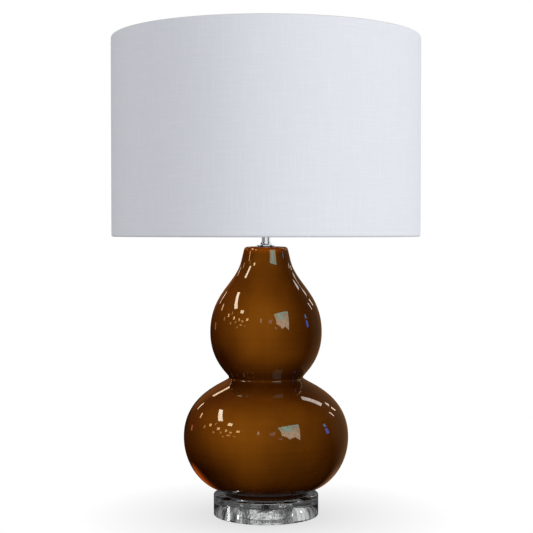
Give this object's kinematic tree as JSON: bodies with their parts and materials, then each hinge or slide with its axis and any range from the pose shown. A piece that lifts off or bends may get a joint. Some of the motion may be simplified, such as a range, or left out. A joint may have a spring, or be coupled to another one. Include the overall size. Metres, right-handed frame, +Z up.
{
  "type": "table lamp",
  "caption": "Table lamp with a double gourd ceramic body on a clear disc, a chrome neck, and a white drum shade on a harp.",
  "frame": {"origin": "the centre of the lamp's footprint, at the level it stands on", "axes": "+Z up along the lamp's axis, -Y towards the picture's viewer, +X to that viewer's right"},
  "size_m": [0.4299, 0.43, 0.6738],
  "materials": {
    "clear_vinyl": "clear soft vinyl",
    "clear_acrylic": "polished clear acrylic",
    "plated_steel": "zinc plated steel",
    "amber_glaze": "deep glossy amber-brown glaze",
    "black_rubber": "black rubber",
    "polished_chrome": "polished chrome",
    "satin_nickel": "satin nickel plate",
    "insulating_card": "vulcanised card",
    "black_moulding": "black moulded phenolic",
    "brass": "bare brass",
    "bulb_aluminium": "spun aluminium",
    "opal_glass": "opal white glass",
    "white_wire": "white powder coat",
    "white_stiffener": "white styrene lining",
    "white_linen": "white slub linen, plain weave"
  },
  "bodies": {
    "base": {"bumper_pads": "clear_vinyl", "clear_disc": "clear_acrylic", "base_washer": "plated_steel", "lock_washer": "plated_steel", "base_nut": "plated_steel", "centre_rod": "plated_steel", "foot_gasket": "clear_vinyl", "gourd_body": "amber_glaze", "cord_grommet": "black_rubber", "neck_gasket": "black_rubber", "neck_cap": "polished_chrome", "neck_tube": "polished_chrome", "harp_saddle": "satin_nickel", "saddle_lock_nut": "plated_steel", "holder_cap": "satin_nickel", "holder_set_screw": "plated_steel", "holder_shell": "satin_nickel", "holder_liner": "insulating_card", "holder_core": "black_moulding", "terminal_screws": "brass", "thread_shell": "brass", "centre_contact": "brass"},
    "switch": {"switch_shaft": "brass", "switch_knob": "black_moulding"},
    "bulb": {"bulb_screw_cap": "bulb_aluminium", "bulb_insulator": "black_moulding", "bulb_button": "brass", "bulb_globe": "opal_glass"},
    "harp": {"harp_wire": "satin_nickel", "harp_stud": "satin_nickel"},
    "sleeve_left": {"harp_sleeve_left": "satin_nickel"},
    "sleeve_right": {"harp_sleeve_right": "satin_nickel"},
    "shade": {"shade_lower_ring": "white_wire", "shade_upper_ring": "white_wire", "spider_hub": "white_wire", "spider_arms": "white_wire", "shade_stiffener": "white_stiffener", "shade_linen": "white_linen"},
    "finial": {"finial_base": "polished_chrome", "finial_knob": "polished_chrome"}
  },
  "joints": [
    {"name": "switch_turn", "type": "hinge", "parent": "base", "child": "switch", "pos_m": [0, 0, 0.4334], "axis": [0, -1, 0], "continuous": true},
    {"name": "bulb_lift", "type": "slide", "parent": "base", "child": "bulb", "axis": [0, 0, 1], "range_m": [0, 0.032]},
    {"name": "harp_lift", "type": "slide", "parent": "base", "child": "harp", "axis": [0, 0, 1], "range_m": [0, 0.04]},
    {"name": "sleeve_left_slide", "type": "slide", "parent": "harp", "child": "sleeve_left", "axis": [0, 0, 1], "range_m": [0, 0.012]},
    {"name": "sleeve_right_slide", "type": "slide", "parent": "harp", "child": "sleeve_right", "axis": [0, 0, 1], "range_m": [0, 0.012]},
    {"name": "shade_turn", "type": "hinge", "parent": "harp", "child": "shade", "pos_m": [0, 0, 0.6469], "axis": [0, 0, 1], "continuous": true},
    {"name": "finial_turn", "type": "hinge", "parent": "harp", "child": "finial", "pos_m": [0, 0, 0.6489], "axis": [0, 0, 1], "continuous": true}
  ]
}
